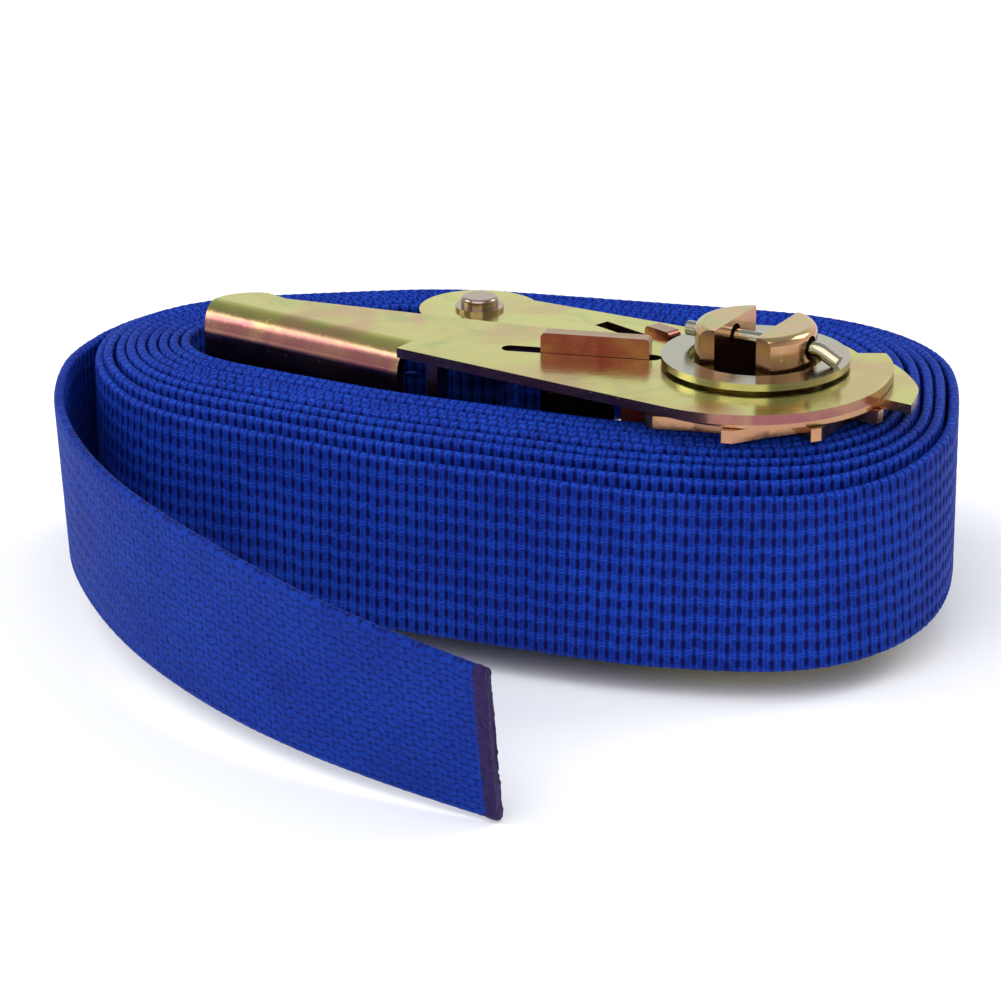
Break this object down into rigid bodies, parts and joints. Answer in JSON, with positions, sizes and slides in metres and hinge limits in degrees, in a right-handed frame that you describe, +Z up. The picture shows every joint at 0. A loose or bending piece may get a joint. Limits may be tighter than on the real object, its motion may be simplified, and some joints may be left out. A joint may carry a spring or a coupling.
{
  "type": "ratchet strap",
  "caption": "Endless webbing strap wound flat round its closed ratchet buckle, with a loose free end and a toothed spool, lever handle and spring pawls.",
  "frame": {"origin": "on the spool axis, at the level of the surface that the strap lies on", "axes": "+Z up along the spool axis, -X towards the grip of the closed handle, -Y towards the front of the winding where the free end lies"},
  "size_m": [0.1239, 0.1279, 0.0454],
  "materials": {
    "yellow_zinc_steel": "yellow chromated zinc plate, glossy, with pink and green tints",
    "pawl_steel": "yellow chromated zinc plate, copper red tint",
    "bright_zinc_steel": "clear zinc plate, satin",
    "spring_steel": "drawn spring wire",
    "webbing": "woven polyester, blue",
    "thread": "bonded polyester thread",
    "heat_cut_end": "melted polyester edge"
  },
  "bodies": {
    "frame": {"base_plate_upper": "yellow_zinc_steel", "base_plate_lower": "yellow_zinc_steel", "fixed_bolt": "yellow_zinc_steel", "bolt_sleeve": "yellow_zinc_steel", "bolt_washer_upper": "yellow_zinc_steel", "bolt_washer_lower": "yellow_zinc_steel", "frame_bridge": "yellow_zinc_steel", "lock_pawl_spring": "spring_steel", "sewn_loop": "webbing", "loop_stitching": "thread", "winding_inner": "webbing", "winding_outer": "webbing", "tail": "webbing", "tail_seal": "heat_cut_end"},
    "spool": {"spool_bar_left": "yellow_zinc_steel", "spool_bar_right": "yellow_zinc_steel", "ratchet_wheel_upper": "yellow_zinc_steel", "ratchet_wheel_lower": "yellow_zinc_steel", "spool_washer_upper": "bright_zinc_steel", "spool_washer_lower": "bright_zinc_steel", "split_pin": "bright_zinc_steel"},
    "handle": {"handle": "yellow_zinc_steel", "handle_bridge": "yellow_zinc_steel", "drive_pawl_spring": "spring_steel"},
    "drive_pawl": {"drive_pawl": "pawl_steel"},
    "lock_pawl": {"lock_pawl": "yellow_zinc_steel"}
  },
  "joints": [
    {"name": "handle_swing", "type": "hinge", "parent": "frame", "child": "handle", "pos_m": [0, 0, 0.0216], "axis": [0, 0, 1], "range_deg": [0, 157], "deforming": ["winding_inner", "winding_outer", "tail", "tail_seal"]},
    {"name": "spool_turn", "type": "hinge", "parent": "frame", "child": "spool", "pos_m": [0, 0, 0.0216], "axis": [0, 0, 1], "continuous": true},
    {"name": "drive_pawl_pull", "type": "slide", "parent": "handle", "child": "drive_pawl", "axis": [-0.9781, 0.2079, 0], "range_m": [0, 0.0042], "stiffness_N_per_m": 600, "springref_m": -0.004, "deforming": ["drive_pawl_spring"]},
    {"name": "lock_pawl_lift", "type": "slide", "parent": "frame", "child": "lock_pawl", "axis": [-0.6691, 0.7431, 0], "range_m": [0, 0.0049], "deforming": ["lock_pawl_spring"]}
  ],
  "couplings": [
    {"joint": "lock_pawl_lift", "follows": "handle_swing", "m_per_rad": 0.0017517}
  ]
}
